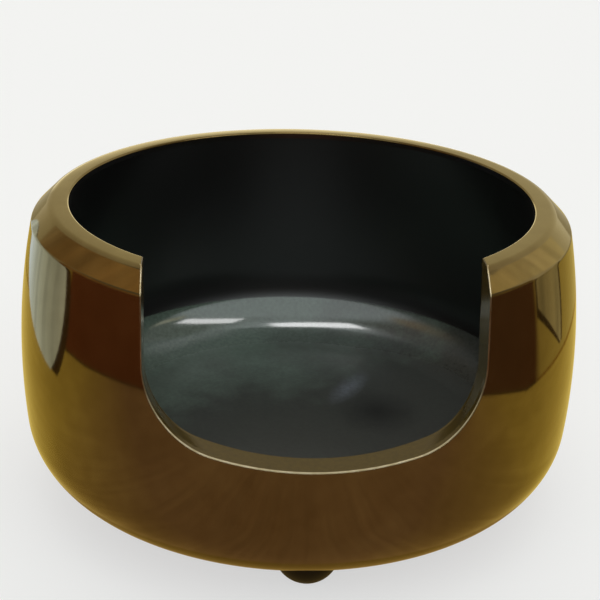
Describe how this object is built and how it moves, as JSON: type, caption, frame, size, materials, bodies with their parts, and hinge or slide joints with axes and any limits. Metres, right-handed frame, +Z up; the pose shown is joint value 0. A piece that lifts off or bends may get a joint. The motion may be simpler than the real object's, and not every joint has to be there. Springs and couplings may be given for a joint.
{
  "type": "furo brazier",
  "caption": "Round bronze tea brazier with a barrel-shaped body, chamfered shoulder, U-shaped front opening and black fire bowl, standing on domed feet.",
  "frame": {"origin": "on the ground that the feet stand on, under the middle of the body", "axes": "+Z up along the axis of the body, -Y towards the front opening, +X to the right of someone who looks at the front"},
  "size_m": [0.332, 0.332, 0.185],
  "materials": {
    "patinated_bronze": "cast bronze, turned and polished, with a glossy brown patina",
    "black_lacquer": "spun metal bowl with a glossy black heat-proof coat",
    "raw_bronze": "bare cast bronze, as turned",
    "dark_bronze": "cast bronze with a dark brown patina",
    "fastener_brass": "plain brass"
  },
  "bodies": {
    "root": {"outer_shell": "patinated_bronze", "opening_jamb": "patinated_bronze", "inner_bowl": "black_lacquer", "base_dish": "patinated_bronze", "bowl_rest_ring": "raw_bronze", "foot_front": "dark_bronze", "foot_rear_right": "dark_bronze", "foot_rear_left": "dark_bronze", "foot_stud_front": "fastener_brass", "foot_stud_rear_right": "fastener_brass", "foot_stud_rear_left": "fastener_brass", "foot_washer_front": "fastener_brass", "foot_washer_rear_right": "fastener_brass", "foot_washer_rear_left": "fastener_brass", "foot_nut_front": "fastener_brass", "foot_nut_rear_right": "fastener_brass", "foot_nut_rear_left": "fastener_brass"}
  },
  "joints": []
}
